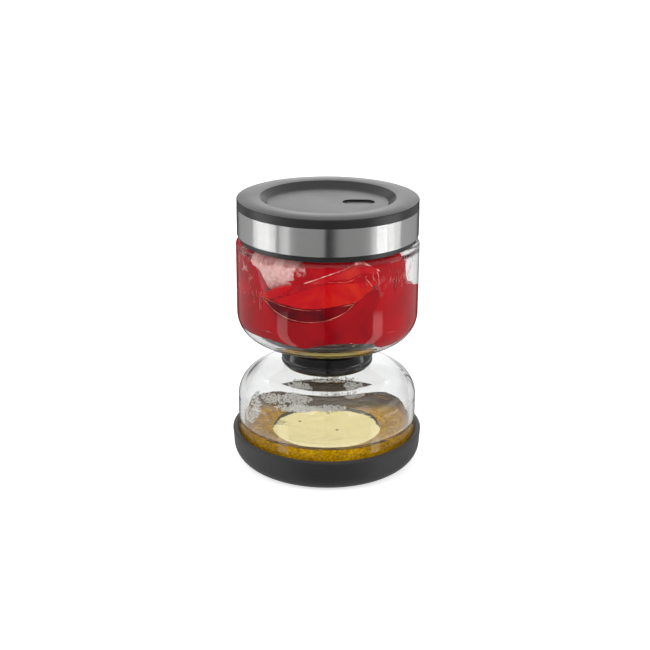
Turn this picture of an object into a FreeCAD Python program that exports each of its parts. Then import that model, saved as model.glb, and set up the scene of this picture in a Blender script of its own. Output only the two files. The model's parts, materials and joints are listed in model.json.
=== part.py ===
"""Hourglass pickle keeper: two glass jars joined neck to neck by a collar that seats a strainer.

Millimetres, +Z up. The origin is on the keeper's axis, on the surface that it stands on.
"""
import FreeCAD, Part
import math
import os

AXIS_POINT = FreeCAD.Vector(0, 0, 0)
UP = FreeCAD.Vector(0, 0, 1)

# Clearances
seat_gap = 0.3                # between two pieces that rest on each other and come apart
slide_gap = 0.3               # at the side of a piece that slides out of another
strainer_side_gap = 0.4       # between the strainer's flange and the bore of the upper neck

# Both glass jars
jar_radius = 53.2
glass_wall = 3.0
shoulder_round = 17.0         # where the straight wall turns into the dome
dome_angle = 9.5              # degrees, how steeply the dome falls from the neck to the shoulder
neck_radius = 22.6
neck_wall = 3.6
lip_round = 1.0
throat_round = 1.6            # where the bore of a neck opens into its jar

# Lower jar
lower_jar_height = 56.6       # from its foot to the root of its neck
lower_floor = 5.0
foot_round = 9.0
foot_inner_round = 7.0
punt_depth = 1.0              # the hollow in the underside of the glass
punt_margin = 17.0

# Upper jar
upper_jar_height = 62.4       # from the root of its neck to its shoulder
bead_height = 3.4             # the thick glass that shows between the collar and the jar
bead_inset = 0.8
ledge_width = 5.2             # the shoulder's ledge beside the mouth
ledge_round = 2.6
mouth_height = 16.7
mouth_wall = 3.2

# Collar and its seals
socket_depth = 4.6
collar_ledge_thickness = 1.2
collar_wall = 2.6             # at its lower end
collar_top_wall = 3.5
collar_edge_round = 0.6
belly_height = 2.1            # the widest place of its lower band, above its lower end
belly_wall = 4.4
belly_round = 1.6
groove_height = 4.0           # the groove that parts its two bands
groove_wall = 3.8
groove_round = 0.3
waist_height = 5.1            # the widest place of its upper band
waist_round = 3.0
neck_seal_thickness = 0.8

# Strainer
strainer_bearing = 2.4        # how far its flange laps over the collar's ledge
strainer_flange_thickness = 1.6
strainer_wall = 1.4
strainer_depth = 8.4          # below its flange
strainer_floor = 1.6
strainer_edge_round = 0.5
strainer_corner_round = 1.5
hole_radius = 1.2
hole_pitch = 4.0
hole_margin = 1.0
slot_count = 18
slot_width = 1.8
slot_margin = 1.6
grip_radius = 1.5             # of the round bar that the grip is bent from
grip_leg = 2.0                # its straight length above the flange

# Base cup
cup_wall = 3.4
cup_height = 20.2
cup_floor = 3.0
cup_draft = 4.0               # degrees
cup_foot_round = 11.5
cup_rim_round = 1.0
foot_hole_radius = 32.5       # the cup is open underneath, so the floor of the glass shows
foot_hole_round = 1.0

# Lid
thread_room = 1.6             # between the mouth of the glass and the bore of the ring
ring_wall = 2.3
skirt_inset = 0.8
skirt_height = 3.5            # the part of the ring that shows below the band
skirt_round = 0.5
ring_flange_thickness = 1.2
ring_flange_width = 5.8
band_thickness = 0.6
lid_seal_thickness = 1.2
lid_seal_inset = 0.2
cap_inset = 0.1
cap_side_height = 5.0
cap_edge_round = 0.5
crown_rise = 0.9
crown_round = 40.0
cap_wall = 2.2
rim_width = 13.2              # the broad ring round the dish
dish_slope_width = 4.6        # from the ring's inner edge in to the floor of the dish
dish_lip_round = 0.8
dish_foot_round = 0.4
dish_depth = 3.7
spigot_width = 1.8
badge_length = 18.6
badge_width = 10.8
badge_depth = 1.0
badge_offset = 17.6

# Heights of the seats, from the floor up
lower_foot = cup_floor + seat_gap
lower_neck_root = lower_foot + lower_jar_height
collar_bottom = lower_neck_root + seat_gap
collar_ledge_bottom = collar_bottom + socket_depth
collar_ledge_top = collar_ledge_bottom + collar_ledge_thickness
collar_top = collar_ledge_top + socket_depth
lower_neck_end = collar_ledge_bottom - neck_seal_thickness - seat_gap
upper_neck_end = collar_ledge_top + neck_seal_thickness + seat_gap
strainer_seat = collar_ledge_top + seat_gap
bead_bottom = collar_top + seat_gap
upper_neck_root = bead_bottom + bead_height
jar_shoulder = upper_neck_root + upper_jar_height
mouth_rim = jar_shoulder + mouth_height
skirt_bottom = jar_shoulder + seat_gap
band_bottom = skirt_bottom + skirt_height
lid_seal_bottom = mouth_rim + seat_gap
ring_flange_bottom = lid_seal_bottom + lid_seal_thickness
ring_top = ring_flange_bottom + ring_flange_thickness
cap_edge = ring_top + cap_side_height
crown = cap_edge + crown_rise

# Radii that one piece takes from the next
jar_bore = jar_radius - glass_wall
neck_bore = neck_radius - neck_wall
mouth_radius = jar_radius - ledge_width
mouth_bore = mouth_radius - mouth_wall
socket_radius = neck_radius + slide_gap
collar_end_radius = socket_radius + collar_wall
strainer_radius = neck_bore - strainer_side_gap
collar_bore = strainer_radius - strainer_bearing
strainer_cup_radius = collar_bore - slide_gap
strainer_bore = strainer_cup_radius - strainer_wall
cup_bore = jar_radius + slide_gap
cup_radius = cup_bore + cup_wall
ring_bore = mouth_radius + thread_room
ring_radius = ring_bore + ring_wall
skirt_radius = ring_radius - skirt_inset
ring_flange_bore = ring_bore - ring_flange_width
band_radius = ring_radius + band_thickness
cap_radius = band_radius - cap_inset


def profile(corners):
    """Closed outline in the XZ plane from (radius, height, rounding) corners."""
    points = [FreeCAD.Vector(radius, 0, height) for radius, height, _ in corners]
    bends = []
    for index, (_, _, rounding) in enumerate(corners):
        corner = points[index]
        back = (points[index - 1] - corner).normalize()
        ahead = (points[(index + 1) % len(points)] - corner).normalize()
        half_angle = back.getAngle(ahead) / 2
        inward = (back + ahead).normalize()
        reach = rounding / math.tan(half_angle)
        depth = rounding / math.sin(half_angle) - rounding
        bends.append((corner + back * reach, corner + inward * depth, corner + ahead * reach))
    edges = []
    for index, (start, middle, end) in enumerate(bends):
        last_end = bends[index - 1][2]
        if last_end.distanceToPoint(start) > Part.Precision.confusion():
            edges.append(Part.LineSegment(last_end, start).toShape())
        if corners[index][2] > 0:
            edges.append(Part.Arc(start, middle, end).toShape())
    return Part.Wire(edges)


def turned(corners):
    """Solid of revolution about the keeper's axis."""
    return Part.Face(profile(corners)).revolve(AXIS_POINT, UP, 360)


def flat_ring(inner_radius, outer_radius, bottom, thickness):
    """Plain flat washer."""
    return turned([
        (inner_radius, bottom, 0),
        (outer_radius, bottom, 0),
        (outer_radius, bottom + thickness, 0),
        (inner_radius, bottom + thickness, 0),
    ])


def dome_fall(radius):
    """How far the outside of a dome has fallen, from the root of its neck out to a radius."""
    return (radius - neck_radius) * math.tan(math.radians(dome_angle))


def dome_lining(radius):
    """The same for the inside of the dome, one wall thickness in from the outside."""
    return dome_fall(radius) + glass_wall / math.cos(math.radians(dome_angle))


def base_cup():
    foot_radius = cup_radius - cup_height * math.tan(math.radians(cup_draft))
    return turned([
        (foot_hole_radius, 0, foot_hole_round),
        (foot_radius, 0, cup_foot_round),
        (cup_radius, cup_height, cup_rim_round),
        (cup_bore, cup_height, cup_rim_round),
        (cup_bore, cup_floor, foot_round + slide_gap),
        (foot_hole_radius, cup_floor, foot_hole_round),
    ])


def lower_glass():
    punt_radius = jar_radius - punt_margin
    return turned([
        (0, lower_foot + punt_depth, 0),
        (punt_radius - punt_depth, lower_foot + punt_depth, 0),
        (punt_radius, lower_foot, 0),
        (jar_radius, lower_foot, foot_round),
        (jar_radius, lower_neck_root - dome_fall(jar_radius), shoulder_round),
        (neck_radius, lower_neck_root, 0),
        (neck_radius, lower_neck_end, lip_round),
        (neck_bore, lower_neck_end, lip_round),
        (neck_bore, lower_neck_root - dome_lining(neck_bore), throat_round),
        (jar_bore, lower_neck_root - dome_lining(jar_bore), shoulder_round - glass_wall),
        (jar_bore, lower_foot + lower_floor, foot_inner_round),
        (0, lower_foot + lower_floor, 0),
    ])


def upper_glass():
    bead_radius = collar_end_radius - bead_inset
    return turned([
        (neck_bore, upper_neck_end, lip_round),
        (neck_radius, upper_neck_end, lip_round),
        (neck_radius, bead_bottom, 0),
        (bead_radius, bead_bottom, lip_round),
        (bead_radius, upper_neck_root + dome_fall(bead_radius), lip_round),
        (jar_radius, upper_neck_root + dome_fall(jar_radius), shoulder_round),
        (jar_radius, jar_shoulder, ledge_round),
        (mouth_radius, jar_shoulder, lip_round),
        (mouth_radius, mouth_rim, lip_round),
        (mouth_bore, mouth_rim, lip_round),
        (mouth_bore, jar_shoulder - glass_wall, lip_round),
        (jar_bore, jar_shoulder - glass_wall, ledge_round),
        (jar_bore, upper_neck_root + dome_lining(jar_bore), shoulder_round - glass_wall),
        (neck_bore, upper_neck_root + dome_lining(neck_bore), throat_round),
    ])


def neck_collar():
    return turned([
        (socket_radius, collar_bottom, 0),
        (collar_end_radius, collar_bottom, collar_edge_round),
        (socket_radius + belly_wall, collar_bottom + belly_height, belly_round),
        (socket_radius + groove_wall, collar_bottom + groove_height, groove_round),
        (socket_radius + belly_wall, collar_bottom + waist_height, waist_round),
        (socket_radius + collar_top_wall, collar_top, collar_edge_round),
        (socket_radius, collar_top, 0),
        (socket_radius, collar_ledge_top, 0),
        (collar_bore, collar_ledge_top, 0),
        (collar_bore, collar_ledge_bottom, 0),
        (socket_radius, collar_ledge_bottom, 0),
    ])


def strainer():
    flange_top = strainer_seat + strainer_flange_thickness
    cup_bottom = strainer_seat - strainer_depth
    cup_floor_top = cup_bottom + strainer_floor
    body = turned([
        (0, cup_bottom, 0),
        (strainer_cup_radius, cup_bottom, strainer_corner_round),
        (strainer_cup_radius, strainer_seat, 0),
        (strainer_radius, strainer_seat, strainer_edge_round),
        (strainer_radius, flange_top, strainer_edge_round),
        (strainer_bore, flange_top, strainer_edge_round),
        (strainer_bore, cup_floor_top, 0),
        (0, cup_floor_top, 0),
    ])
    openings = floor_holes(cup_bottom) + wall_slots(cup_floor_top)
    return body.cut(Part.makeCompound(openings)).fuse(strainer_grip(flange_top)).removeSplitter()


def floor_holes(cup_bottom):
    """A hole at the centre and rings of holes round it, six more in each ring than in the last."""
    def hole(x, y):
        corner = FreeCAD.Vector(x, y, cup_bottom - strainer_floor)
        return Part.makeCylinder(hole_radius, 3 * strainer_floor, corner, UP)

    ring_total = int((strainer_bore - hole_margin - hole_radius) / hole_pitch)
    holes = [hole(0, 0)]
    for ring in range(1, ring_total + 1):
        for step in range(6 * ring):
            turn = 2 * math.pi * step / (6 * ring)
            distance = ring * hole_pitch
            holes.append(hole(distance * math.cos(turn), distance * math.sin(turn)))
    return holes


def wall_slots(cup_floor_top):
    """Upright slots through the side of the cup, between its floor and the collar's ledge."""
    height = collar_ledge_bottom - cup_floor_top
    slot = Part.makeBox(strainer_cup_radius, slot_width, height - slot_margin,
                        FreeCAD.Vector(strainer_bore - strainer_wall, -slot_width / 2, cup_floor_top))
    slots = []
    for step in range(slot_count):
        turned_slot = slot.copy()
        turned_slot.rotate(AXIS_POINT, UP, 360 * (step + 0.5) / slot_count)
        slots.append(turned_slot)
    return slots


def strainer_grip(flange_top):
    """Round bar bent into an arch that stands on the flange, for a finger to lift."""
    foot = flange_top - strainer_flange_thickness / 2
    arch_radius = (strainer_radius + strainer_bore) / 2
    arch_base = flange_top + grip_leg
    left_foot = FreeCAD.Vector(-arch_radius, 0, foot)
    left = FreeCAD.Vector(-arch_radius, 0, arch_base)
    top = FreeCAD.Vector(0, 0, arch_base + arch_radius)
    right = FreeCAD.Vector(arch_radius, 0, arch_base)
    right_foot = FreeCAD.Vector(arch_radius, 0, foot)
    path = Part.Wire([
        Part.LineSegment(left_foot, left).toShape(),
        Part.Arc(left, top, right).toShape(),
        Part.LineSegment(right, right_foot).toShape(),
    ])
    section = Part.Wire([Part.makeCircle(grip_radius, left_foot, UP)])
    return path.makePipeShell([section], True, True)


def lid_thread_ring():
    return turned([
        (ring_bore, skirt_bottom, 0),
        (skirt_radius, skirt_bottom, skirt_round),
        (skirt_radius, band_bottom, 0),
        (ring_radius, band_bottom, 0),
        (ring_radius, ring_top, 0),
        (ring_flange_bore, ring_top, 0),
        (ring_flange_bore, ring_flange_bottom, 0),
        (ring_bore, ring_flange_bottom, 0),
    ])


def lid_cap():
    rim_inner = cap_radius - rim_width
    dish_radius = rim_inner - dish_slope_width
    dish_floor = crown - dish_depth
    crown_radius = cap_radius - rim_width / 2
    rim_ceiling = cap_edge - cap_wall
    spigot_bore = ring_flange_bore - spigot_width
    body = turned([
        (0, dish_floor, 0),
        (dish_radius, dish_floor, dish_foot_round),
        (rim_inner, crown - crown_rise / 2, dish_lip_round),
        (crown_radius, crown, crown_round),
        (cap_radius, cap_edge, cap_edge_round),
        (cap_radius, ring_top, 0),
        (ring_bore, ring_top, 0),
        (ring_bore, rim_ceiling, 0),
        (ring_flange_bore, rim_ceiling, 0),
        (ring_flange_bore, ring_flange_bottom, 0),
        (spigot_bore, ring_flange_bottom, 0),
        (spigot_bore, rim_ceiling, 0),
        (rim_inner, rim_ceiling, 0),
        (dish_radius, dish_floor - cap_wall, 0),
        (0, dish_floor - cap_wall, 0),
    ])
    return body.cut(badge_recess(dish_floor))


def badge_recess(dish_floor):
    """Round-ended shallow recess in the floor of the dish, left bare."""
    half_straight = (badge_length - badge_width) / 2
    bottom = dish_floor - badge_depth
    middle = Part.makeBox(2 * half_straight, badge_width, 2 * badge_depth,
                          FreeCAD.Vector(badge_offset - half_straight, -badge_width / 2, bottom))
    ends = [
        Part.makeCylinder(badge_width / 2, 2 * badge_depth,
                          FreeCAD.Vector(badge_offset + side * half_straight, 0, bottom), UP)
        for side in (-1, 1)
    ]
    return middle.fuse(ends).removeSplitter()


pieces = {
    "base_cup": base_cup(),
    "lower_glass": lower_glass(),
    "lower_neck_seal": flat_ring(neck_bore, neck_radius, collar_ledge_bottom - neck_seal_thickness,
                                 neck_seal_thickness),
    "neck_collar": neck_collar(),
    "upper_neck_seal": flat_ring(neck_bore, neck_radius, collar_ledge_top, neck_seal_thickness),
    "strainer": strainer(),
    "upper_glass": upper_glass(),
    "lid_thread_ring": lid_thread_ring(),
    "lid_seal": flat_ring(ring_flange_bore, ring_bore - lid_seal_inset, lid_seal_bottom,
                          lid_seal_thickness),
    "lid_band": flat_ring(ring_radius, band_radius, band_bottom, ring_top - band_bottom),
    "lid_cap": lid_cap(),
}

os.makedirs("parts", exist_ok=True)
for name, shape in pieces.items():
    shape.exportStep(f"parts/{name}.step")
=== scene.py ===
import json
import math
import random

import bpy
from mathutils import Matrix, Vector

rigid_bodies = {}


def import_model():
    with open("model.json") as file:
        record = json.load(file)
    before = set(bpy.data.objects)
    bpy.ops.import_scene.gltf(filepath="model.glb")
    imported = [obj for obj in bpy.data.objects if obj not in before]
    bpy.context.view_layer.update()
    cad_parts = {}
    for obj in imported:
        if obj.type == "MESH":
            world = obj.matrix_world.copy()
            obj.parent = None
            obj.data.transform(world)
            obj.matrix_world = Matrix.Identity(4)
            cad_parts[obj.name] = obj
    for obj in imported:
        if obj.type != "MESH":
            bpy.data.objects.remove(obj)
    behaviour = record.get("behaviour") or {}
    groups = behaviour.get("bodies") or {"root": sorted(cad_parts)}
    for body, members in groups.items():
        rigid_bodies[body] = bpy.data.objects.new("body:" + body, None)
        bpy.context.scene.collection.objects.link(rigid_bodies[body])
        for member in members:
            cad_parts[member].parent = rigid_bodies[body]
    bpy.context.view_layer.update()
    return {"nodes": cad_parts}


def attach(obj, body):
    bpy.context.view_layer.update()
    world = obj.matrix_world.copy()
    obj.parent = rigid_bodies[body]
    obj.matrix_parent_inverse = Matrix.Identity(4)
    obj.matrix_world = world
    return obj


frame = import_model()
nodes = frame["nodes"]
scene = bpy.context.scene
scene.view_settings.view_transform = "Standard"


# Camera. It stands in front of the keeper and a little above the lid, and looks
# down at the collar, so that the dish of the lid and the pool of oil both show.
camera = bpy.data.objects.new("camera", bpy.data.cameras.new("camera"))
scene.collection.objects.link(camera)
scene.camera = camera
camera.data.sensor_width = 36
camera.data.lens = 70.20
camera.location = (-0.0002, -0.70736, 0.33595)
camera.rotation_euler = [math.radians(turn) for turn in (70.3386, -0.2736, 0.1912)]


# Studio. Soft boxes stand to the left and right, the wall behind is bright, and the front
# of the room is dark up to eye level and grey above it, with one narrow dark gap. Seen
# straight on or through the glass, the room and the floor are white.
def fill(tree, node, sockets):
    """Links or fills the sockets of a node that are named."""
    for name, value in sockets.items():
        if isinstance(value, bpy.types.NodeSocket):
            tree.links.new(value, node.inputs[name])
        else:
            node.inputs[name].default_value = value


def add_node(tree, kind, sockets=None, **settings):
    """Adds a node, sets its own settings, and links or fills the sockets that are named."""
    node = tree.nodes.new(kind)
    for name, value in settings.items():
        setattr(node, name, value)
    fill(tree, node, sockets or {})
    return node


def maths(tree, operation, first, second=0.0):
    """The result of one sum, on plain numbers or on sockets."""
    return add_node(tree, "ShaderNodeMath", {0: first, 1: second}, operation=operation).outputs[0]


def ranged(tree, value, low=0.0, high=1.0, start=0.0, end=1.0, **settings):
    """A value that runs from low to high, turned into one that runs from start to end."""
    sockets = {"Value": value, "From Min": low, "From Max": high, "To Min": start, "To Max": end}
    return add_node(tree, "ShaderNodeMapRange", sockets, **settings).outputs[0]


def blend(tree, amount, first, second, **settings):
    """A colour that goes from the first to the second as the amount goes from 0 to 1."""
    sockets = {0: amount, 6: first, 7: second}
    return add_node(tree, "ShaderNodeMix", sockets, data_type="RGBA", **settings).outputs[2]


def ramped(tree, value, stops):
    """The colour at a value, from stops of (value, colour) in rising order."""
    ramp = add_node(tree, "ShaderNodeValToRGB", {"Fac": value})
    elements = ramp.color_ramp.elements
    while len(elements) < len(stops):
        elements.new(0.5)
    for element, (position, colour) in zip(elements, stops):
        element.position = position
        element.color = colour
    return ramp.outputs[0]


def grey(level):
    """A grey, opaque."""
    return (level, level, level, 1)


def seen_straight(tree):
    """1 for a ray from the camera that has only passed through glass or nothing."""
    path = add_node(tree, "ShaderNodeLightPath").outputs
    straight = maths(tree, "MAXIMUM", path["Is Camera Ray"], path["Is Transmission Ray"])
    bounced = maths(tree, "ADD", path["Glossy Depth"], path["Diffuse Depth"])
    return maths(tree, "MULTIPLY", straight, maths(tree, "LESS_THAN", bounced, 0.5))


room = bpy.data.worlds.new("studio_room")
scene.world = room
room.use_nodes = True
tree = room.node_tree
tree.nodes.clear()
heading = add_node(tree, "ShaderNodeTexCoord").outputs["Generated"]
heading = add_node(tree, "ShaderNodeSeparateXYZ", {0: heading}).outputs
azimuth = maths(tree, "ARCTAN2", heading["X"], maths(tree, "MULTIPLY", heading["Y"], -1.0))
around = ranged(tree, azimuth, -math.pi, math.pi)

# The walls, as (degrees from the front, level) all the way round.
wall_peak = 2.4
low_wall = [
    (-180, 1.4), (-173, 0.8), (-166, 0.06), (-154, 0.06), (-146, 0.40), (-118, 0.45), (-72, 0.35),
    (-54, 0.20), (-4, 0.18), (-3.3, 0.0), (3.5, 0.0), (9, 0.08), (16, 0.18), (60, 0.20), (76, 0.35),
    (118, 0.45), (146, 0.40), (154, 0.06), (166, 0.06), (173, 0.8), (180, 1.4),
]
high_wall = [
    (-180, 1.9), (-172, 1.2), (-164, 0.10), (-152, 0.15), (-144, 0.50), (-126, 0.45), (-112, 0.90),
    (-101, 1.90), (-80, 1.80), (-66, 0.90), (-58, 0.50), (-50, 0.95), (-4, 0.95), (-3.3, 0.0),
    (3.5, 0.0), (8, 0.35), (14, 0.70), (22, 0.92), (58, 0.90), (66, 0.75), (76, 1.45), (96, 1.90),
    (108, 0.90), (128, 0.35), (152, 0.40), (168, 1.2), (180, 1.9),
]


def wall_light(stops):
    """The light of the walls, as a share of their peak."""
    return ramped(tree, around, [
        ((degrees + 180) / 360, grey(level / wall_peak)) for degrees, level in stops])


above_eye_level = ranged(tree, heading["Z"], -0.05, 0.20, interpolation_type="SMOOTHSTEP")
walls = blend(tree, above_eye_level, wall_light(low_wall), wall_light(high_wall))

# The panels, as degrees from the front, half width in degrees, height on the room's sphere,
# half height, and level.
soft_panels = [
    (-58, 6, -0.582, 0.25, 1.5), (66, 6, -0.582, 0.25, 1.6), (-76, 6, -0.376, 0.024, 8.0),
    (72, 6, -0.376, 0.024, 10.0), (-91, 9, -0.386, 0.006, 12.0), (84, 9, -0.386, 0.006, 12.0),
    (-92, 12, -0.20, 0.06, 2.2), (88, 12, -0.20, 0.06, 2.4),
    (-32, 27, -0.19, 0.09, 0.14), (36, 26, -0.19, 0.09, 0.14),
]


def panel_light(degrees, half_degrees, height, half_height, level):
    """The light of one panel, which fades at its edges."""
    inside = level
    for value, middle, half, soft in ((azimuth, math.radians(degrees), math.radians(half_degrees), 0.04),
                                      (heading["Z"], height, half_height, 0.006)):
        away = maths(tree, "ABSOLUTE", maths(tree, "SUBTRACT", value, middle))
        edge = ranged(tree, away, half, half + soft, start=1.0, end=0.0)
        inside = maths(tree, "MULTIPLY", inside, edge)
    return inside


panels = 0.0
for panel in soft_panels:
    panels = maths(tree, "ADD", panel_light(*panel), panels)
ceiling = 0.75
overhead = ranged(tree, heading["Z"], 0.29, 0.40, interpolation_type="SMOOTHSTEP")
studio_light = blend(tree, overhead, walls, grey(ceiling / wall_peak))
studio_light = blend(tree, 1.0, studio_light, maths(tree, "DIVIDE", panels, wall_peak), blend_type="ADD")

# Inside the jars, reflections take less of the light from above than outside them.
path = add_node(tree, "ShaderNodeLightPath").outputs
behind_glass = maths(tree, "MULTIPLY", maths(tree, "GREATER_THAN", path["Transmission Depth"], 0.5),
                     maths(tree, "LESS_THAN", path["Diffuse Depth"], 0.5))
from_above = ranged(tree, heading["Z"], 0.12, 0.24, end=0.55)
dimmed = maths(tree, "SUBTRACT", 1.0, maths(tree, "MULTIPLY", from_above, behind_glass))
light_room = add_node(tree, "ShaderNodeBackground", {
    "Color": studio_light, "Strength": maths(tree, "MULTIPLY", dimmed, wall_peak)})

# Through the glass the white room turns dark at its sides. The camera itself sees it all white.
sides = ranged(tree, maths(tree, "ABSOLUTE", heading["X"]), 0.32, 0.66, start=1.0, end=0.12)
white_room = add_node(tree, "ShaderNodeBackground", {
    "Color": maths(tree, "MAXIMUM", sides, path["Is Camera Ray"]), "Strength": 1.0})
both_rooms = add_node(tree, "ShaderNodeMixShader",
                      {0: seen_straight(tree), 1: light_room.outputs[0], 2: white_room.outputs[0]})
add_node(tree, "ShaderNodeOutputWorld", {"Surface": both_rooms.outputs[0]})

lamp_aim = Vector((0, 0, 0.08))
soft_boxes = [
    ("key_box", (-0.55, -0.75, 0.85), 0.7, 4.3),
    ("fill_box", (0.65, -0.65, 0.60), 0.6, 2.5),
    ("back_box", (0.0, 0.60, 0.95), 0.9, 3.6),
]
for name, place, size, watts in soft_boxes:
    lamp = bpy.data.objects.new(name, bpy.data.lights.new(name, "AREA"))
    scene.collection.objects.link(lamp)
    lamp.data.size = size
    lamp.data.energy = watts
    lamp.location = place
    lamp.rotation_euler = (lamp_aim - Vector(place)).to_track_quat("-Z", "Y").to_euler()
    lamp.visible_camera = False
    lamp.visible_glossy = False

bpy.ops.object.select_all(action="DESELECT")
bpy.ops.mesh.primitive_plane_add(size=12, location=(0, 0, 0))
floor = bpy.context.object
floor.name = "floor"
paper = bpy.data.materials.new("white_paper")
paper.use_nodes = True
tree = paper.node_tree
tree.nodes.clear()
looked_at = add_node(tree, "ShaderNodeLightPath").outputs["Is Camera Ray"]
matt = add_node(tree, "ShaderNodeBsdfDiffuse", {"Color": grey(0.72)})
lift = add_node(tree, "ShaderNodeEmission", {"Color": grey(0.62), "Strength": looked_at})
lit_paper = add_node(tree, "ShaderNodeAddShader", {0: matt.outputs[0], 1: lift.outputs[0]})

# Through the glass the paper is white, and turns dark past the left and right of the view.
view_start = 0.75            # in front of the axis, a little behind the camera
view_spread = 0.27           # half the width of the view for each metre away
place = add_node(tree, "ShaderNodeTexCoord").outputs["Object"]
place = add_node(tree, "ShaderNodeSeparateXYZ", {0: place}).outputs
view_edge = maths(tree, "MULTIPLY", maths(tree, "ADD", place["Y"], view_start), view_spread)
past_edge = maths(tree, "SUBTRACT", maths(tree, "ABSOLUTE", place["X"]), view_edge)
sides = ranged(tree, past_edge, 0.0, 0.20, start=1.0, end=0.12)
plain_white = add_node(tree, "ShaderNodeEmission", {"Color": sides, "Strength": 1.0})
through_glass = maths(tree, "SUBTRACT", seen_straight(tree), looked_at)
both_papers = add_node(tree, "ShaderNodeMixShader",
                       {0: through_glass, 1: lit_paper.outputs[0], 2: plain_white.outputs[0]})
add_node(tree, "ShaderNodeOutputMaterial", {"Surface": both_papers.outputs[0]})
floor.data.materials.append(paper)
floor.visible_glossy = False


# Base cup: a soft dark silicone cup, moulded in one, that the lower jar is pushed into.
# Its skin is matt, with a faint bloom, and takes a little lint and dust.
def noise(tree, place, scale, detail, distortion=0.0):
    """A cloudy pattern over the surface."""
    sockets = {"Vector": place, "Scale": scale, "Detail": detail, "Distortion": distortion}
    return add_node(tree, "ShaderNodeTexNoise", sockets).outputs[0]


def bumped(tree, height, depth):
    """The way the surface faces when a height, times a depth in metres, is laid on it."""
    return add_node(tree, "ShaderNodeBump", {"Height": height, "Strength": 1.0, "Distance": depth}).outputs[0]


def new_material(name):
    """A new material, with its node tree and its shader."""
    material = bpy.data.materials.new(name)
    material.use_nodes = True
    return material, material.node_tree, material.node_tree.nodes["Principled BSDF"]


def surface_group(name, inputs, outputs):
    """An empty shader node group with named inputs (name, kind, value) and outputs (name, kind)."""
    group = bpy.data.node_groups.new(name, "ShaderNodeTree")
    for label, kind, value in inputs:
        socket = group.interface.new_socket(label, in_out="INPUT", socket_type="NodeSocket" + kind)
        socket.default_value = value
    for label, kind in outputs:
        group.interface.new_socket(label, in_out="OUTPUT", socket_type="NodeSocket" + kind)
    return group


moulded_skin = surface_group(
    "moulded_skin",
    [("Colour", "Color", grey(0.03)), ("Mottle", "Float", 0.2), ("Grain Size", "Float", 2500.0),
     ("Dust", "Float", 0.1)],
    [("Colour", "Color"), ("Height", "Float"), ("Dull", "Float")])
tree = moulded_skin
given = add_node(tree, "NodeGroupInput").outputs
place = add_node(tree, "ShaderNodeTexCoord").outputs["Object"]
cloud = noise(tree, place, scale=60.0, detail=3.0)
grain = noise(tree, place, scale=given["Grain Size"], detail=2.0)
speck = noise(tree, place, scale=900.0, detail=4.0)
swing = maths(tree, "MULTIPLY", maths(tree, "SUBTRACT", cloud, 0.5), given["Mottle"])
toned = add_node(tree, "ShaderNodeVectorMath",
                 {0: given["Colour"], "Scale": maths(tree, "ADD", swing, 1.0)}, operation="SCALE")
dusty = ranged(tree, speck, 0.60, 0.78, end=given["Dust"])
dusted = blend(tree, dusty, toned.outputs[0], grey(0.35))
add_node(tree, "NodeGroupOutput", {"Colour": dusted, "Height": grain, "Dull": cloud})


def moulded(name, colour, mottle, grain_size, grain_depth, dust, roughness, **shader_values):
    """A moulded plastic or rubber: its colour, its mottle and grain, and the shader's own plain values."""
    material, tree, shader = new_material(name)
    skin = add_node(tree, "ShaderNodeGroup", {
        "Colour": (*colour, 1), "Mottle": mottle, "Grain Size": grain_size, "Dust": dust},
        node_tree=moulded_skin).outputs
    fill(tree, shader, {
        "Base Color": skin["Colour"],
        "Roughness": ranged(tree, skin["Dull"], start=roughness - 0.05, end=roughness + 0.05),
        "Normal": bumped(tree, skin["Height"], grain_depth)})
    fill(tree, shader, {label.replace("_", " "): value for label, value in shader_values.items()})
    return material


def dress(node_name, material):
    """Gives a solid of the frame its finish."""
    node = nodes[node_name]
    node.data.materials.clear()
    node.data.materials.append(material)
    for face in node.data.polygons:
        face.material_index = 0


base_silicone = moulded("base_silicone", (0.017, 0.017, 0.018), 0.25, 2600.0, 0.00003, 0.03, 0.52,
                        Sheen_Weight=0.12, Sheen_Roughness=0.5)
dress("base_cup", base_silicone)


# Lower jar: clear pressed glass, thick walled, with a domed top and a short neck. It is
# dropped into the base cup. Pressing leaves its surface very slightly wavy.
def clear(name, tints, scale, detail, distortion, depth, bending):
    """A clear glass or oil with a wavy surface. Soft light passes it almost as if it weren't there."""
    material, tree, shader = new_material(name)
    place = add_node(tree, "ShaderNodeTexCoord").outputs["Object"]
    wave = noise(tree, place, scale, detail, distortion)
    path = add_node(tree, "ShaderNodeLightPath").outputs
    soft_light = maths(tree, "MAXIMUM", path["Is Shadow Ray"], path["Is Diffuse Ray"])
    fill(tree, shader, {
        "Base Color": blend(tree, wave, *tints), "Normal": bumped(tree, wave, depth),
        "Alpha": maths(tree, "SUBTRACT", 1.0, maths(tree, "MULTIPLY", soft_light, 0.92)),
        "Roughness": 0.0, "IOR": bending, "Transmission Weight": 1.0})
    return material


jar_glass = clear("jar_glass", ((0.985, 0.995, 0.992, 1), (0.995, 1.0, 0.998, 1)),
                  scale=28.0, detail=1.0, distortion=0.0, depth=0.00008, bending=1.46)
dress("lower_glass", jar_glass)


# Oil: the amber oil that has run down through the strainer. It lies on the floor of the
# lower jar, fills its rounded corner, and creeps a little way up the wall.
def clear_oil(name, colour, density):
    """A clear oil that is darker the deeper one looks into it."""
    material = clear(name, ((1.0, 0.97, 0.88, 1), (1.0, 0.99, 0.95, 1)),
                     scale=45.0, detail=3.0, distortion=1.5, depth=0.00025, bending=1.47)
    tree = material.node_tree
    inside = add_node(tree, "ShaderNodeVolumeAbsorption", {"Color": colour, "Density": density})
    fill(tree, tree.nodes["Material Output"], {"Volume": inside.outputs[0]})
    return material


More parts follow.
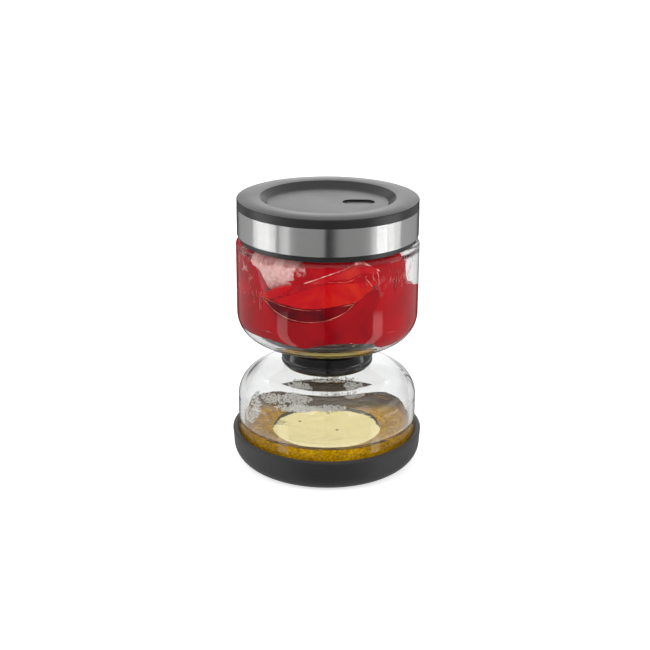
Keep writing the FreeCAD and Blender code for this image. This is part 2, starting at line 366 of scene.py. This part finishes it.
def edit_faces(piece, wanted):
    """Opens a piece in edit mode with only the faces selected that pass the test."""
    bpy.ops.object.mode_set(mode="EDIT")
    bpy.ops.mesh.select_mode(type="FACE")
    bpy.ops.mesh.select_all(action="DESELECT")
    bpy.ops.object.mode_set(mode="OBJECT")
    for face in piece.data.polygons:
        face.select = wanted(face)
    bpy.ops.object.mode_set(mode="EDIT")


def edit_edges(piece, wanted):
    """Opens a piece in edit mode with only the edges selected whose two ends pass the test."""
    bpy.ops.object.mode_set(mode="EDIT")
    bpy.ops.mesh.select_mode(type="EDGE")
    bpy.ops.mesh.select_all(action="DESELECT")
    bpy.ops.object.mode_set(mode="OBJECT")
    corners = piece.data.vertices
    for edge in piece.data.edges:
        edge.select = all(wanted(corners[corner].co) for corner in edge.vertices)
    bpy.ops.object.mode_set(mode="EDIT")


def settle(piece, name):
    """Leaves edit mode, puts the place of a finished piece into its mesh, and names it."""
    if bpy.context.mode != "OBJECT":
        bpy.ops.object.mode_set(mode="OBJECT")
    bpy.ops.object.transform_apply(location=True, rotation=True, scale=True)
    piece.name = name
    piece.data.name = name
    return piece


jar_floor = 0.0083
oil_level = 0.0275
oil_radius = 0.05025
oil_corner = 0.0070
oil_creep = ((0.0008, 0.0007), (0.0012, 0.0003))     # steps inwards and down from the wall
bpy.ops.object.select_all(action="DESELECT")
bpy.ops.mesh.primitive_cylinder_add(vertices=160, radius=oil_radius, depth=oil_level - jar_floor,
                                    location=(0, 0, (oil_level + jar_floor) / 2))
oil = settle(bpy.context.object, "contents_oil")
edit_edges(oil, lambda corner: corner.z < jar_floor + 0.0001)
bpy.ops.mesh.bevel(offset=oil_corner, segments=8, affect="EDGES")
edit_faces(oil, lambda face: face.normal.z > 0.9)
for inwards, down in oil_creep:
    bpy.ops.mesh.inset(thickness=inwards)
    bpy.ops.transform.translate(value=(0, 0, -down))
for inwards in (0.010, 0.012):
    bpy.ops.mesh.inset(thickness=inwards)
bpy.ops.object.mode_set(mode="OBJECT")
bpy.ops.object.shade_smooth_by_angle(angle=math.radians(50))
oil.data.materials.append(clear_oil("amber_oil", (1.0, 0.905, 0.42, 1), 58.0))
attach(oil, "lower_jar")


# Sediment: fine amber dregs that have settled in the oil, in a ring on the floor of the lower
# jar and up its wall. The sheet is also painted light: its amber stands in for the light that
# the cloudy oil scatters. They leave the middle clear, and lie low at the back.
def grow_ring(radius, height, steps):
    """A sheet of revolution from a first ring: each step gives the next radius and height."""
    bpy.ops.object.select_all(action="DESELECT")
    bpy.ops.mesh.primitive_circle_add(vertices=160, radius=radius, location=(0, 0, height))
    ring = settle(bpy.context.object, "ring")
    bpy.ops.object.mode_set(mode="EDIT")
    bpy.ops.mesh.select_mode(type="EDGE")
    bpy.ops.mesh.select_all(action="SELECT")
    for next_radius, next_height in steps:
        wider = next_radius / radius
        bpy.ops.mesh.extrude_region_move()
        bpy.ops.transform.resize(value=(wider, wider, 1), center_override=(0, 0, 0))
        bpy.ops.transform.translate(value=(0, 0, next_height - height))
        radius, height = next_radius, next_height
    bpy.ops.object.mode_set(mode="OBJECT")
    return ring


def finish_with(piece, kind, **values):
    """Adds one modifier to the active piece, with its values, and applies it."""
    bpy.ops.object.modifier_add(type=kind)
    for label, value in values.items():
        setattr(piece.modifiers[-1], label, value)
    bpy.ops.object.modifier_apply(modifier=piece.modifiers[-1].name)


def share(value):
    """The value, held between 0 and 1."""
    return min(max(value, 0), 1)


haze_floor = jar_floor + 0.0004
haze_wall = oil_radius + 0.0001
haze_top = oil_level - 0.0018
haze_corner = 0.0066
clear_radius = 0.0322
full_radius = 0.038
clear_shift = 0.0052         # of the clear middle, towards the front
shift_fade = 0.010           # over which the shift dies out, inwards of the corner
back_drop = 0.92             # of the height at the front, missing at the back
haze_steps = [(haze_wall - haze_corner + haze_corner * math.sin(angle),
               haze_floor + haze_corner - haze_corner * math.cos(angle))
              for angle in (math.radians(step * 15) for step in range(7))]
haze = grow_ring(clear_radius, haze_floor, [(full_radius, haze_floor)] + haze_steps + [(haze_wall, haze_top)])
for corner in haze.data.vertices:
    reach = math.hypot(corner.co.x, corner.co.y)
    back = share(corner.co.y / haze_wall + 0.3)
    corner.co.y -= clear_shift * share((haze_wall - haze_corner - reach) / shift_fade)
    corner.co.z -= back_drop * back * (corner.co.z - haze_floor)
finish_with(haze, "SOLIDIFY", thickness=0.0002, offset=1.0)
edit_faces(haze, lambda face: True)
bpy.ops.mesh.normals_make_consistent(inside=False)
settle(haze, "oil_sediment_and_scattered_light")
bpy.ops.object.shade_smooth_by_angle(angle=math.radians(50))
dregs_and_scattered_light, tree, shader = new_material("amber_dregs_and_scattered_light")
place = add_node(tree, "ShaderNodeTexCoord").outputs["Object"]
cloud = noise(tree, place, scale=70.0, detail=3.0, distortion=1.0)
grain = noise(tree, place, scale=650.0, detail=4.0)
place = add_node(tree, "ShaderNodeSeparateXYZ", {0: place}).outputs
on_wall = ranged(tree, place["Z"], 0.0105, 0.0150)
# Painted shade: on the wall the dregs turn darker towards the left and right, where the base cup shades them.
sides = ranged(tree, maths(tree, "ABSOLUTE", place["X"]), 0.018, 0.046, end=0.26)
sides = maths(tree, "SUBTRACT", 1.0, maths(tree, "MULTIPLY", sides, on_wall))
mixed = maths(tree, "ADD", maths(tree, "MULTIPLY", grain, 0.7), maths(tree, "MULTIPLY", cloud, 0.35))
amber = ramped(tree, maths(tree, "MULTIPLY", mixed, sides), [
    (0.30, (0.21, 0.098, 0.0, 1)), (0.50, (0.45, 0.235, 0.0, 1)), (0.75, (0.86, 0.49, 0.0, 1))])
paler = blend(tree, on_wall, (1.04, 1.36, 1.0, 1), grey(1.0))
amber = add_node(tree, "ShaderNodeVectorMath", {0: amber, 1: paler}, operation="MULTIPLY").outputs[0]
drift = maths(tree, "ADD", place["Y"], maths(tree, "MULTIPLY", cloud, 0.012))
thin = ranged(tree, drift, 0.022, 0.036, start=1.0, end=0.08, interpolation_type="SMOOTHSTEP")
fill(tree, shader, {"Base Color": amber, "Alpha": thin, "Normal": bumped(tree, grain, 0.0004),
                    "Roughness": 0.55, "Specular IOR Level": 0.0})
haze.data.materials.append(dregs_and_scattered_light)
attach(haze, "lower_jar")


# Foam: bubbles that the dripping oil has left on the back and left wall of the lower jar, at
# and above the oil.
def scatter(name, shape, places):
    """Copies of one small solid at (place, size, turn), joined into one piece. The first is used up."""
    copies = []
    for place, size, turn in places:
        copy = shape.copy()
        copy.data = shape.data.copy()
        scene.collection.objects.link(copy)
        copy.location = place
        copy.scale = size
        copy.rotation_euler = turn
        copies.append(copy)
    bpy.data.objects.remove(shape)
    bpy.ops.object.select_all(action="DESELECT")
    for copy in copies:
        copy.select_set(True)
    bpy.context.view_layer.objects.active = copies[0]
    bpy.ops.object.join()
    return settle(copies[0], name)


# Patches of bubbles: middle and half widths in millimetres, and how many there are.
patches = ((-18, 29, 9, 16, 620), (-32, 22, 9, 10, 330), (1, 7, 11, 7, 270), (-18, 6, 14, 7, 340),
           (17, 38, 6, 9, 220), (-45, 4, 4, 22, 290), (3, 46, 13, 3, 170))
smallest = 0.00022
largest = 0.00075
float_depth = 0.0004         # of a bubble's middle, less 0.4 of its size
wall_gap = 0.0012
climb_width = 0.004          # from the wall, within which the bubbles climb it
luck = random.Random(5)
bubbles = []
for middle_x, middle_y, half_x, half_y, count in patches:
    for _ in range(count):
        reach, turn = luck.random() ** 0.6, luck.uniform(0, 2 * math.pi)
        size = luck.uniform(smallest, largest)
        x = (middle_x + half_x * reach * math.cos(turn)) / 1000
        y = (middle_y + half_y * reach * math.sin(turn)) / 1000
        out = math.hypot(x, y)
        kept = min(1.0, (oil_radius - wall_gap - size) / out)
        climbed = max(0.0, out - oil_radius + climb_width) * 0.8
        bubbles.append(((x * kept, y * kept, oil_level - float_depth + size * 0.4 + climbed),
                        (size, size, size * luck.uniform(0.6, 1.0)), (0, 0, turn)))
bpy.ops.object.select_all(action="DESELECT")
bpy.ops.mesh.primitive_ico_sphere_add(subdivisions=2, radius=1.0)
bpy.ops.object.shade_smooth()
foam = scatter("oil_foam", bpy.context.object, bubbles)
foam_film, tree, shader = new_material("foam_film")
place = add_node(tree, "ShaderNodeTexCoord").outputs["Object"]
wave = noise(tree, place, scale=260.0, detail=3.0)
# Painted light: the bubbles are pale, a painted reflection of the bright room, and painted dark at their rims
# where they turn away, for the dark outline of a clear bubble.
facing = add_node(tree, "ShaderNodeLayerWeight", {"Blend": 0.5}).outputs["Facing"]
edge = ranged(tree, facing, 0.45, 0.85)
white = blend(tree, wave, (0.80, 0.79, 0.70, 1), grey(1.0))
fill(tree, shader, {
    "Base Color": blend(tree, edge, white, (0.16, 0.15, 0.10, 1)),
    "Alpha": ranged(tree, edge, start=0.62, end=0.95),
    "Normal": bumped(tree, wave, 0.0003), "Roughness": 0.08})
foam.data.materials.append(foam_film)
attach(foam, "lower_jar")


# Herb specks: a few dark flakes of herb that have come through the strainer with the oil and
# float on it.
flake_size = (0.0011, 0.0005, 0.0002)
flake_places = (
    (11, 14), (17, 9), (1, 0), (22, 2), (6, -24), (-12, 3), (30, -9), (-22, 14), (-16, -14), (20, 20),
    (16, 22), (25, 21), (-28, 20), (-20, 24), (-9, 20), (3, 25))
flakes = [((x / 1000, y / 1000, oil_level - 0.0009), flake_size, (0, 0, luck.uniform(-0.5, 0.5)))
          for x, y in flake_places]
bpy.ops.object.select_all(action="DESELECT")
bpy.ops.mesh.primitive_ico_sphere_add(subdivisions=2, radius=1.0)
specks = scatter("herb_specks", bpy.context.object, flakes)
herb = moulded("dark_herb", (0.030, 0.022, 0.008), 0.6, 900.0, 0.0001, 0.0, 0.5)
specks.data.materials.append(herb)
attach(specks, "lower_jar")


# Neck collar: a glossy dark moulding with a socket above for the upper jar and one below
# for the lower jar. The two white rings that seal the necks stay in it.
collar_plastic = moulded("collar_plastic", (0.011, 0.011, 0.012), 0.15, 1200.0, 0.000002, 0.02, 0.07)
dress("neck_collar", collar_plastic)
seal_silicone = moulded("seal_silicone", (0.62, 0.62, 0.60), 0.10, 1500.0, 0.00001, 0.05, 0.40,
                        Subsurface_Weight=0.3, Subsurface_Scale=0.002)
dress("lower_neck_seal", seal_silicone)
dress("upper_neck_seal", seal_silicone)


# Strainer: a satin dark moulding, drilled and slotted, that drops into the collar. Oil has
# run over it, so it is a little wet.
strainer_plastic = moulded("strainer_plastic", (0.022, 0.022, 0.024), 0.20, 2000.0, 0.00001, 0.03, 0.32,
                           Coat_Weight=0.4, Coat_Roughness=0.12)
dress("strainer", strainer_plastic)


# Upper jar: the same pressed glass, open above at its wide mouth and below at its neck. It
# stands in the collar's upper socket.
dress("upper_glass", jar_glass)


# Peppers: halved red peppers preserved in oil, packed against the glass of the upper jar.
# Each half is a curved piece of flesh with glossy skin on one side, paler on the other. It is
# cut out flat, plumped up, crumpled a little, and then bent to the wall of the jar.
jar_bore = 0.0502
bend_round = 0.0140          # the wall's inner bend into the dome
bend_height = 0.0938         # of that bend's centre
dome_angle = math.radians(9.5)
bend_length = bend_round * (math.pi / 2 - dome_angle)
corner_round = 0.0026        # where the wall turns in under the shoulder
shoulder_height = 0.1337     # of the shoulder's underside
corner_climb = shoulder_height - corner_round - bend_height
oil_film = -0.00013          # a pressed piece reaches through the film of oil, just into the glass
layer_step = 0.013           # sets each flat piece apart, so that no two are crumpled alike


def against_wall(turn, climb, depth):
    """A point at a turn round the jar from its front, a climb up its wall, and a depth in from the glass."""
    over = min(max(climb - corner_climb, 0), corner_round * math.pi / 2) / corner_round
    past_corner = max(climb - corner_climb - corner_round * math.pi / 2, 0)
    if over > 0:
        radius = jar_bore - corner_round + (corner_round - depth) * math.cos(over) - past_corner
        height = bend_height + corner_climb + (corner_round - depth) * math.sin(over)
        return Vector((radius * math.sin(turn), -radius * math.cos(turn), height))
    tilt = min(max(-climb, 0), bend_length) / bend_round
    past_bend = max(-climb - bend_length, 0)
    radius = jar_bore - bend_round + (bend_round - depth) * math.cos(tilt) - past_bend * math.cos(dome_angle)
    height = bend_height - (bend_round - depth) * math.sin(tilt) - past_bend * math.sin(dome_angle)
    height += max(climb, 0)
    return Vector((radius * math.sin(turn), -radius * math.cos(turn), height))


def mark(mesh, label, amounts):
    """Gives the corners of a mesh their amounts of pale, of ripeness and painted shade, or of wet, which the
    pepper's skin reads.
    """
    mesh.attributes.new(label, "FLOAT", "POINT").data.foreach_set("value", amounts)


def pepper(name, outline, depth, thickness=0.0042, plump=0.0016, crumple=0.0014, wrinkle=0.0003,
           lean=0.0, ripeness_and_shade=0.6, pale_side=1, pale=0.75, wet=0.5, film=oil_film, rim=1.0, where=against_wall):
    """One piece of pepper. Its outline goes round in degrees of turn and millimetres of climb."""
    bpy.ops.object.select_all(action="DESELECT")
    bpy.ops.mesh.primitive_circle_add(vertices=len(outline), radius=0.02, fill_type="NGON",
                                      rotation=(math.pi / 2, 0, 0))
    piece = settle(bpy.context.object, name)
    layer = len(bpy.data.objects) * layer_step
    for corner, (degrees, climb) in zip(piece.data.vertices, outline):
        corner.co = (jar_bore * math.radians(degrees), layer, climb / 1000)
    edit_faces(piece, lambda face: True)
    bpy.ops.mesh.normals_make_consistent(inside=False)
    bpy.ops.mesh.extrude_region_move(TRANSFORM_OT_translate={"value": (0, thickness, 0)})
    bpy.ops.mesh.select_all(action="SELECT")
    bpy.ops.mesh.normals_make_consistent(inside=False)
    for side, bulge in ((-1, 1.0), (1, 0.5)):
        edit_faces(piece, lambda face: face.normal.y * side > 0.9 and len(face.vertices) == len(outline))
        for inwards, lift in ((0.0015, 0.45), (0.0025, 0.35), (0.003, 0.20)):
            bpy.ops.mesh.inset(thickness=inwards * rim)
            bpy.ops.transform.translate(value=(0, -lift * plump * bulge, 0))
    bpy.ops.object.mode_set(mode="OBJECT")
    finish_with(piece, "SUBSURF", levels=2, render_levels=2)
    finish_with(piece, "REMESH", mode="VOXEL", voxel_size=0.0009)
    finish_with(piece, "DISPLACE", texture=folds, strength=crumple, mid_level=0.5)
    finish_with(piece, "DISPLACE", texture=wrinkles, strength=wrinkle, mid_level=0.5)
    finish_with(piece, "SMOOTH", factor=0.5, iterations=2)
    mesh = piece.data
    mesh.update()
    mark(mesh, "pale", [pale * share((corner.normal.y * pale_side - 0.05) / 0.4) for corner in mesh.vertices])
    mark(mesh, "ripeness_and_shade", [ripeness_and_shade] * len(mesh.vertices))
    mark(mesh, "wet", [wet] * len(mesh.vertices))
    for corner in mesh.vertices:
        inset = depth / 1000 + (corner.co.y - layer) + plump + lean * corner.co.z
        corner.co = where(corner.co.x / jar_bore, corner.co.z, max(inset, film))
    for face in mesh.polygons:
        face.use_smooth = True
    mesh.update()
    mesh.materials.append(pepper_skin)
    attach(piece, "upper_jar")
    return piece


folds = bpy.data.textures.new("pepper_folds", "CLOUDS")
folds.noise_scale = 0.014
wrinkles = bpy.data.textures.new("pepper_wrinkles", "CLOUDS")
wrinkles.noise_scale = 0.003

pepper_skin, tree, shader = new_material("pepper_skin")
place = add_node(tree, "ShaderNodeTexCoord").outputs["Object"]
pale, ripeness_and_shade, wet = [add_node(tree, "ShaderNodeAttribute", attribute_name=label).outputs["Fac"]
                   for label in ("pale", "ripeness_and_shade", "wet")]
blush = noise(tree, place, scale=55.0, detail=3.0, distortion=0.8)
mottle = noise(tree, place, scale=420.0, detail=4.0)
swing = maths(tree, "MULTIPLY", maths(tree, "SUBTRACT", blush, 0.5), 0.7)
red = ramped(tree, maths(tree, "ADD", ripeness_and_shade, swing), [
    (0.0, (0.07, 0.002, 0.005, 1)), (0.45, (0.34, 0.005, 0.010, 1)),
    (0.75, (0.52, 0.006, 0.012, 1)), (1.0, (0.72, 0.050, 0.008, 1))])
flesh = blend(tree, mottle, (0.62, 0.17, 0.17, 1), (0.86, 0.66, 0.60, 1))
bare = ranged(tree, blush, 0.38, 0.56, start=0.35, end=1.0)
patchy = maths(tree, "MULTIPLY", maths(tree, "MULTIPLY", pale, bare), maths(tree, "ADD", 0.55, mottle))
fill(tree, shader, {
    "Base Color": blend(tree, patchy, red, flesh),
    "Roughness": ranged(tree, mottle, start=0.16, end=0.34),
    "Normal": bumped(tree, mottle, 0.00012),
    "Coat Weight": wet, "Coat Roughness": 0.05,
    "Specular IOR Level": maths(tree, "MULTIPLY", wet, 0.6),
    "Subsurface Weight": 0.15, "Subsurface Scale": 0.003, "Subsurface Radius": (1.0, 0.2, 0.12)})

pepper("pepper_front_left", [
    (-104, 2), (-92, 5), (-80, 7), (-74, 12.3), (-69, 16), (-60, 18.7), (-54, 18.7), (-48, 17.8),
    (-43, 18.2), (-39, 14.9), (-34, 12.1), (-26, 9.4), (-18.4, 8.5), (-12, 8.5), (-3.4, 9.3), (4.2, 11.3),
    (12, 15), (16, 18.3), (19, 21.7), (24, 24.8), (31, 28.4), (36, 26), (35, 6), (33, -8), (23, -5),
    (8, -4), (-1, -4.6), (-10.6, -6.6), (-13.2, -8.6), (-22, -7.4), (-30, -6.4), (-38.5, -5.6),
    (-48.5, -5.9), (-62, -6.4), (-80, -6), (-98, -6)],
    depth=-1.2, thickness=0.0036, plump=0.001, crumple=0.0007, ripeness_and_shade=0.45, wet=0.0)
pepper("pepper_front_right", [
    (31, 18), (33, 21), (35.7, 23.2), (41.6, 26.2), (48.3, 25.4), (54.7, 25.3), (68.4, 23.4), (76, 19.7),
    (90, 18), (112, 12), (110, 0), (96, -6), (80, -6), (67.5, -8), (59, -10.4), (46.8, -11.5), (34, -11),
    (29, -5), (28, 8)],
    depth=-1.1, thickness=0.0045, plump=0.0014, crumple=0.0009, ripeness_and_shade=0.62, wet=0.0, film=-0.00017)
pepper("pepper_middle", [
    (-46, 20), (-40.3, 23.7), (-36, 25.8), (-30.3, 28.1), (-24.8, 29.1), (-14.4, 30.4), (-7.8, 32.9),
    (0.3, 35.9), (8.3, 37.6), (13.3, 39.0), (21.7, 39.6), (29.8, 37.8), (34.7, 35), (36, 31.3), (33, 28.8),
    (29, 27), (23.8, 21.1), (16.9, 18.6), (8.5, 17.9), (-2.9, 16), (-12.8, 15.2), (-23, 15.8), (-32.3, 16.6),
    (-38, 17.4), (-44, 18.4)],
    depth=-1.0, thickness=0.0042, plump=0.0012, crumple=0.0006, ripeness_and_shade=0.78, wet=0.0, film=-0.00009, rim=0.5)
pepper("pepper_middle_rim", [
    (-14, 30.6), (-7.8, 33.2), (0.3, 36.4), (8.3, 38.4), (13.3, 40.2), (21.7, 41.0), (29.8, 39.2),
    (34.7, 35.6), (33, 33.2), (26, 36), (20.1, 35.0), (16.7, 33.6), (13.3, 32.3), (8.4, 32.2), (0.3, 32.4),
    (-7.8, 31.2)],
    depth=-0.6, thickness=0.0030, plump=0.0010, crumple=0.0004, ripeness_and_shade=0.74, pale=0.03, pale_side=-1, wet=0.0,
    film=-0.00021, rim=0.6)
pepper("pepper_flesh_side", [
    (-57, 36), (-57, 45), (-33.4, 45), (-19.2, 43.5), (-12.6, 40.4), (-7.6, 34.5), (-8, 28), (-20.9, 25),
    (-28.9, 23), (-36.5, 22), (-45, 23), (-50, 27), (-54, 32)],
    depth=8.5, thickness=0.0040, plump=0.0012, crumple=0.0022, wrinkle=0.0008, lean=-0.25, ripeness_and_shade=0.5,
    pale_side=-1, pale=1.1, wet=0.8)
pepper("pepper_top_left", [
    (-106, 28), (-100, 40), (-90, 44), (-72, 44), (-54, 44), (-49, 38), (-44, 28), (-42, 20), (-46, 14),
    (-56, 12), (-66, 8), (-78, 2), (-90, -1), (-104, -2)],
    depth=-0.45, thickness=0.0042, plump=0.0010, crumple=0.0022, wrinkle=0.0012, ripeness_and_shade=0.56,
    pale=0.0, pale_side=-1, wet=0.0, film=-0.00007)
pepper("pepper_top_middle", [
    (-24, 26), (-22, 38), (-14, 45), (10, 45), (28, 45), (44, 44), (38, 30), (20, 26), (0, 24)],
    depth=12.0, thickness=0.0042, plump=0.0016, crumple=0.0012, lean=-0.40, ripeness_and_shade=0.6, wet=0.0)
pepper("pepper_top_right", [
    (24, 44), (45, 45), (55, 44), (60, 38), (62, 30), (66, 22), (66, 18), (54, 18), (40, 19), (31, 24),
    (30, 34)],
    depth=-0.35, thickness=0.0045, plump=0.0010, crumple=0.0024, wrinkle=0.0013, ripeness_and_shade=0.66,
    pale=0.0, pale_side=-1, wet=0.0, film=-0.00007)
# The piece in the hollow under the front pieces: its near-black red is painted shade.
pepper("pepper_hollow", [
    (-58, 14), (-42, 21), (-20, 23), (0, 23), (22, 24), (34, 14), (30, 0), (8, -1), (-15, -2), (-38, 0),
    (-56, 4)],
    depth=-0.8, thickness=0.0045, plump=0.0010, crumple=0.0008, ripeness_and_shade=0.14, wet=0.0, film=-0.00005)


def pepper_lines(name, lines, radius, colour):
    """Thin lines on the pieces, each through points in degrees of turn and millimetres of climb, in one
    colour patched with dark red.
    """
    curve = bpy.data.curves.new(name, "CURVE")
    curve.dimensions = "3D"
    curve.bevel_depth = radius
    curve.use_fill_caps = True
    depth = -0.0002 - radius * 0.6
    for points in lines:
        line = curve.splines.new("NURBS")
        line.points.add(len(points) - 1)
        for point, (degrees, climb) in zip(line.points, points):
            point.co = (*against_wall(math.radians(degrees), climb / 1000, depth), 1)
        line.order_u = min(4, len(points))
        line.use_endpoint_u = True
    loose = bpy.data.objects.new(name, curve)
    scene.collection.objects.link(loose)
    bpy.ops.object.select_all(action="DESELECT")
    loose.select_set(True)
    bpy.context.view_layer.objects.active = loose
    bpy.ops.object.convert(target="MESH")
    edge = settle(bpy.context.object, name)
    bpy.ops.object.shade_smooth()
    material, tree, shader = new_material(name + "_skin")
    place = add_node(tree, "ShaderNodeTexCoord").outputs["Object"]
    patch = noise(tree, place, scale=200.0, detail=3.0)
    fill(tree, shader, {
        "Base Color": blend(tree, ranged(tree, patch, 0.40, 0.62), (0.42, 0.02, 0.02, 1), (*colour, 1)),
        "Normal": bumped(tree, patch, 0.0002), "Roughness": 0.3, "Specular IOR Level": 0.1})
    edge.data.materials.clear()
    edge.data.materials.append(material)
    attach(edge, "upper_jar")


# Painted highlights: bright lines along the top of the rolled rim, along the fold under it and the lower edge
# of the middle piece, and along the top edge of the front piece, where the wet edges catch the light.
pepper_lines("pepper_roll_highlight", [
    [(-15, 30.9), (-7.8, 33.3), (0.3, 36.5), (8.3, 38.4), (13.3, 40.2), (21.7, 41.2), (29, 39.6), (34, 36)]],
    0.00032, (1.0, 0.55, 0.52))
pepper_lines("pepper_fold_highlight", [
    [(-9, 31.6), (0.3, 32.4), (8.4, 32.0), (13.3, 32.1), (16.7, 33.6), (20.5, 35.4)],
    [(-42.5, 18.9), (-36.2, 17.6), (-32.3, 16.9), (-23, 16.0), (-12.8, 15.3), (-2.9, 16.1), (8.5, 18.2),
     (16.9, 19.3)]], 0.00012, (0.95, 0.28, 0.20))
pepper_lines("pepper_front_highlight", [
    [(-48, 18.6), (-43, 18.4), (-39, 15.1), (-34, 12.3), (-26, 9.6), (-18.4, 8.7), (-12, 8.7), (-3.4, 9.5),
     (4.2, 11.5), (12, 15.2), (16, 18.5), (17.5, 20.5)]], 0.00016, (0.95, 0.32, 0.20))
streak = random.Random(3)


def crumpled_lines(count, turns, climbs, slant):
    """Short crumpled lines within a range of turn and climb, which lean by the slant."""
    lines = []
    for _ in range(count):
        turn, climb = streak.uniform(*turns), streak.uniform(*climbs)
        line = [(turn, climb)]
        for _ in range(3):
            turn += streak.uniform(-0.5, 1.0) * 1.8 * slant
            climb -= streak.uniform(0.8, 2.4)
            line.append((turn, climb))
        lines.append(line)
    return lines


# Painted highlights: fine bright lines that stand in for the glints on the crumpled pieces at the top left
# and top right. Painted shade: near-black lines in their creases.
pepper_lines("pepper_glints_fine", crumpled_lines(14, (-86, -56), (22, 41), 1) + crumpled_lines(22, (38, 66), (28, 42), -1)
          + crumpled_lines(8, (-58, -44), (15, 24), 1), 0.00014, (0.92, 0.28, 0.26))
pepper_lines("pepper_crease_shade", crumpled_lines(9, (-86, -52), (20, 42), 1) + crumpled_lines(5, (38, 58), (30, 42), -1)
          + crumpled_lines(4, (40, 58), (26, 34), 1), 0.00024, (0.16, 0.0, 0.006))
pepper_lines("pepper_strands_pale", crumpled_lines(7, (22, 34), (31, 38), 1), 0.00014, (0.96, 0.45, 0.42))

chance = random.Random(11)
top_ring = 0.034             # how far from the axis the uppermost pieces lie
droop = 8.0                  # of a piece that lies flat, for the square of the distance from its middle


def lobe(turn, climb, wide, tall, corners=16):
    """The uneven oval outline of a piece, from its middle and its two widths."""
    points = []
    for step in range(corners):
        angle = 2 * math.pi * step / corners
        reach = chance.uniform(0.86, 1.08)
        points.append((turn + wide / 2 * reach * math.cos(angle), climb + tall / 2 * reach * math.sin(angle)))
    return points


for number, (turn, climb, wide, tall, depth) in enumerate((
        (122, 4, 66, 36, 1.0), (180, 3, 70, 38, 0.6), (236, 3, 64, 36, 0.9), (278, 2, 34, 32, 2.5),
        (156, 31, 56, 22, 0.8), (206, 30, 58, 24, 1.2), (252, 30, 52, 26, 1.6),
        (-62, 22, 40, 22, 5.0), (-84, 20, 44, 34, 3.0))):
    pepper(f"pepper_back_{number + 1}", lobe(turn, climb, wide, tall), depth=depth, crumple=0.0018,
           lean=chance.uniform(-0.04, 0.10), ripeness_and_shade=chance.uniform(0.3, 0.7), rim=0.8)


def laid(middle_x, middle_y, top, heading):
    """Where a piece goes that lies flat on the others: its middle, its height and the way it points."""
    def where(turn, climb, depth):
        along = turn * jar_bore
        return Vector((middle_x + along * math.cos(heading) - climb * math.sin(heading),
                       middle_y + along * math.sin(heading) + climb * math.cos(heading),
                       top - depth - droop * (along ** 2 + climb ** 2)))
    return where


for number, (degrees, top) in enumerate((
        (-90, 0.1345), (-30, 0.1325), (30, 0.1350), (90, 0.1330), (150, 0.1350), (210, 0.1325))):
    middle = math.radians(degrees)
    pepper(f"pepper_top_{number + 1}", lobe(0, 0, 46, 17), depth=0.5, crumple=0.0016, plump=0.0018,
           ripeness_and_shade=chance.uniform(0.45, 0.8), rim=0.7,
           where=laid(top_ring * math.cos(middle), top_ring * math.sin(middle), top, middle + math.pi / 2))

# The heap of pieces behind those at the wall, as one dark crumpled ring round the jar's middle.
heap_radius = 0.0345
heap_thickness = 0.0095
heap_stretch = 2.4
heap_height = 0.1085
bpy.ops.object.select_all(action="DESELECT")
bpy.ops.mesh.primitive_torus_add(major_segments=128, minor_segments=64, major_radius=heap_radius,
                                 minor_radius=heap_thickness, location=(0, 0, heap_height))
bpy.context.object.scale.z = heap_stretch
heap = settle(bpy.context.object, "pepper_heap")
finish_with(heap, "DISPLACE", texture=folds, strength=0.005)
bpy.ops.object.shade_smooth()
for label, amount in (("pale", 0.0), ("ripeness_and_shade", 0.25), ("wet", 0.1)):
    mark(heap.data, label, [amount] * len(heap.data.vertices))
heap.data.materials.append(pepper_skin)
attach(heap, "upper_jar")


# Oil on the floor of the upper jar: what has run off the peppers and not yet dripped through
# the strainer. It lies in a ring round the neck. Its deep green is partly painted shade, for the
# shade under the peppers.
pool_under = [against_wall(0, -climb / 1000, -0.00005) for climb in (38, 32, 26, 20, 17, 15, 13.5)]
pool_under = [(-point.y, point.z) for point in pool_under]
pool_top = [(0.0436, 0.08215), (0.0400, 0.0821), (0.0340, 0.0819), (0.0260, 0.0806), (0.0216, 0.0789)]
pool = grow_ring(*pool_under[0], pool_under[1:] + pool_top + pool_under[:1])
edit_faces(pool, lambda face: True)
bpy.ops.mesh.select_all(action="SELECT")
bpy.ops.mesh.remove_doubles(threshold=0.00001)
bpy.ops.mesh.normals_make_consistent(inside=False)
settle(pool, "contents_oil_and_shade_upper")
bpy.ops.object.shade_smooth_by_angle(angle=math.radians(50))
pool.data.materials.append(clear_oil("green_oil_and_shade", (0.72, 0.66, 0.03, 1), 95.0))
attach(pool, "upper_jar")


# Lid: a moulded inner ring that grips the mouth, a white seal, a satin steel band pressed
# on the ring, and a satin dark cap with a shallow dish, snapped on from above.
lid_plastic = moulded("lid_plastic", (0.016, 0.016, 0.017), 0.20, 2200.0, 0.00001, 0.04, 0.30)
dress("lid_thread_ring", lid_plastic)
dress("lid_cap", lid_plastic)
dress("lid_seal", seal_silicone)
satin_steel, tree, shader = new_material("satin_steel")
place = add_node(tree, "ShaderNodeTexCoord").outputs["Object"]
place = add_node(tree, "ShaderNodeSeparateXYZ", {0: place}).outputs
turn = maths(tree, "ARCTAN2", place["Y"], place["X"])
along = add_node(tree, "ShaderNodeCombineXYZ",
                 {"X": maths(tree, "MULTIPLY", turn, 2.0), "Y": maths(tree, "MULTIPLY", place["Z"], 9000.0)})
brushed = noise(tree, along.outputs[0], scale=1.0, detail=4.0)
around_band = add_node(tree, "ShaderNodeTangent", direction_type="RADIAL", axis="Z")
fill(tree, shader, {
    "Base Color": blend(tree, brushed, grey(0.60), (0.70, 0.70, 0.69, 1)),
    "Roughness": ranged(tree, brushed, start=0.22, end=0.28),
    "Metallic": 1.0, "Anisotropic": 1.0, "Anisotropic Rotation": 0.25, "Tangent": around_band.outputs[0]})
dress("lid_band", satin_steel)
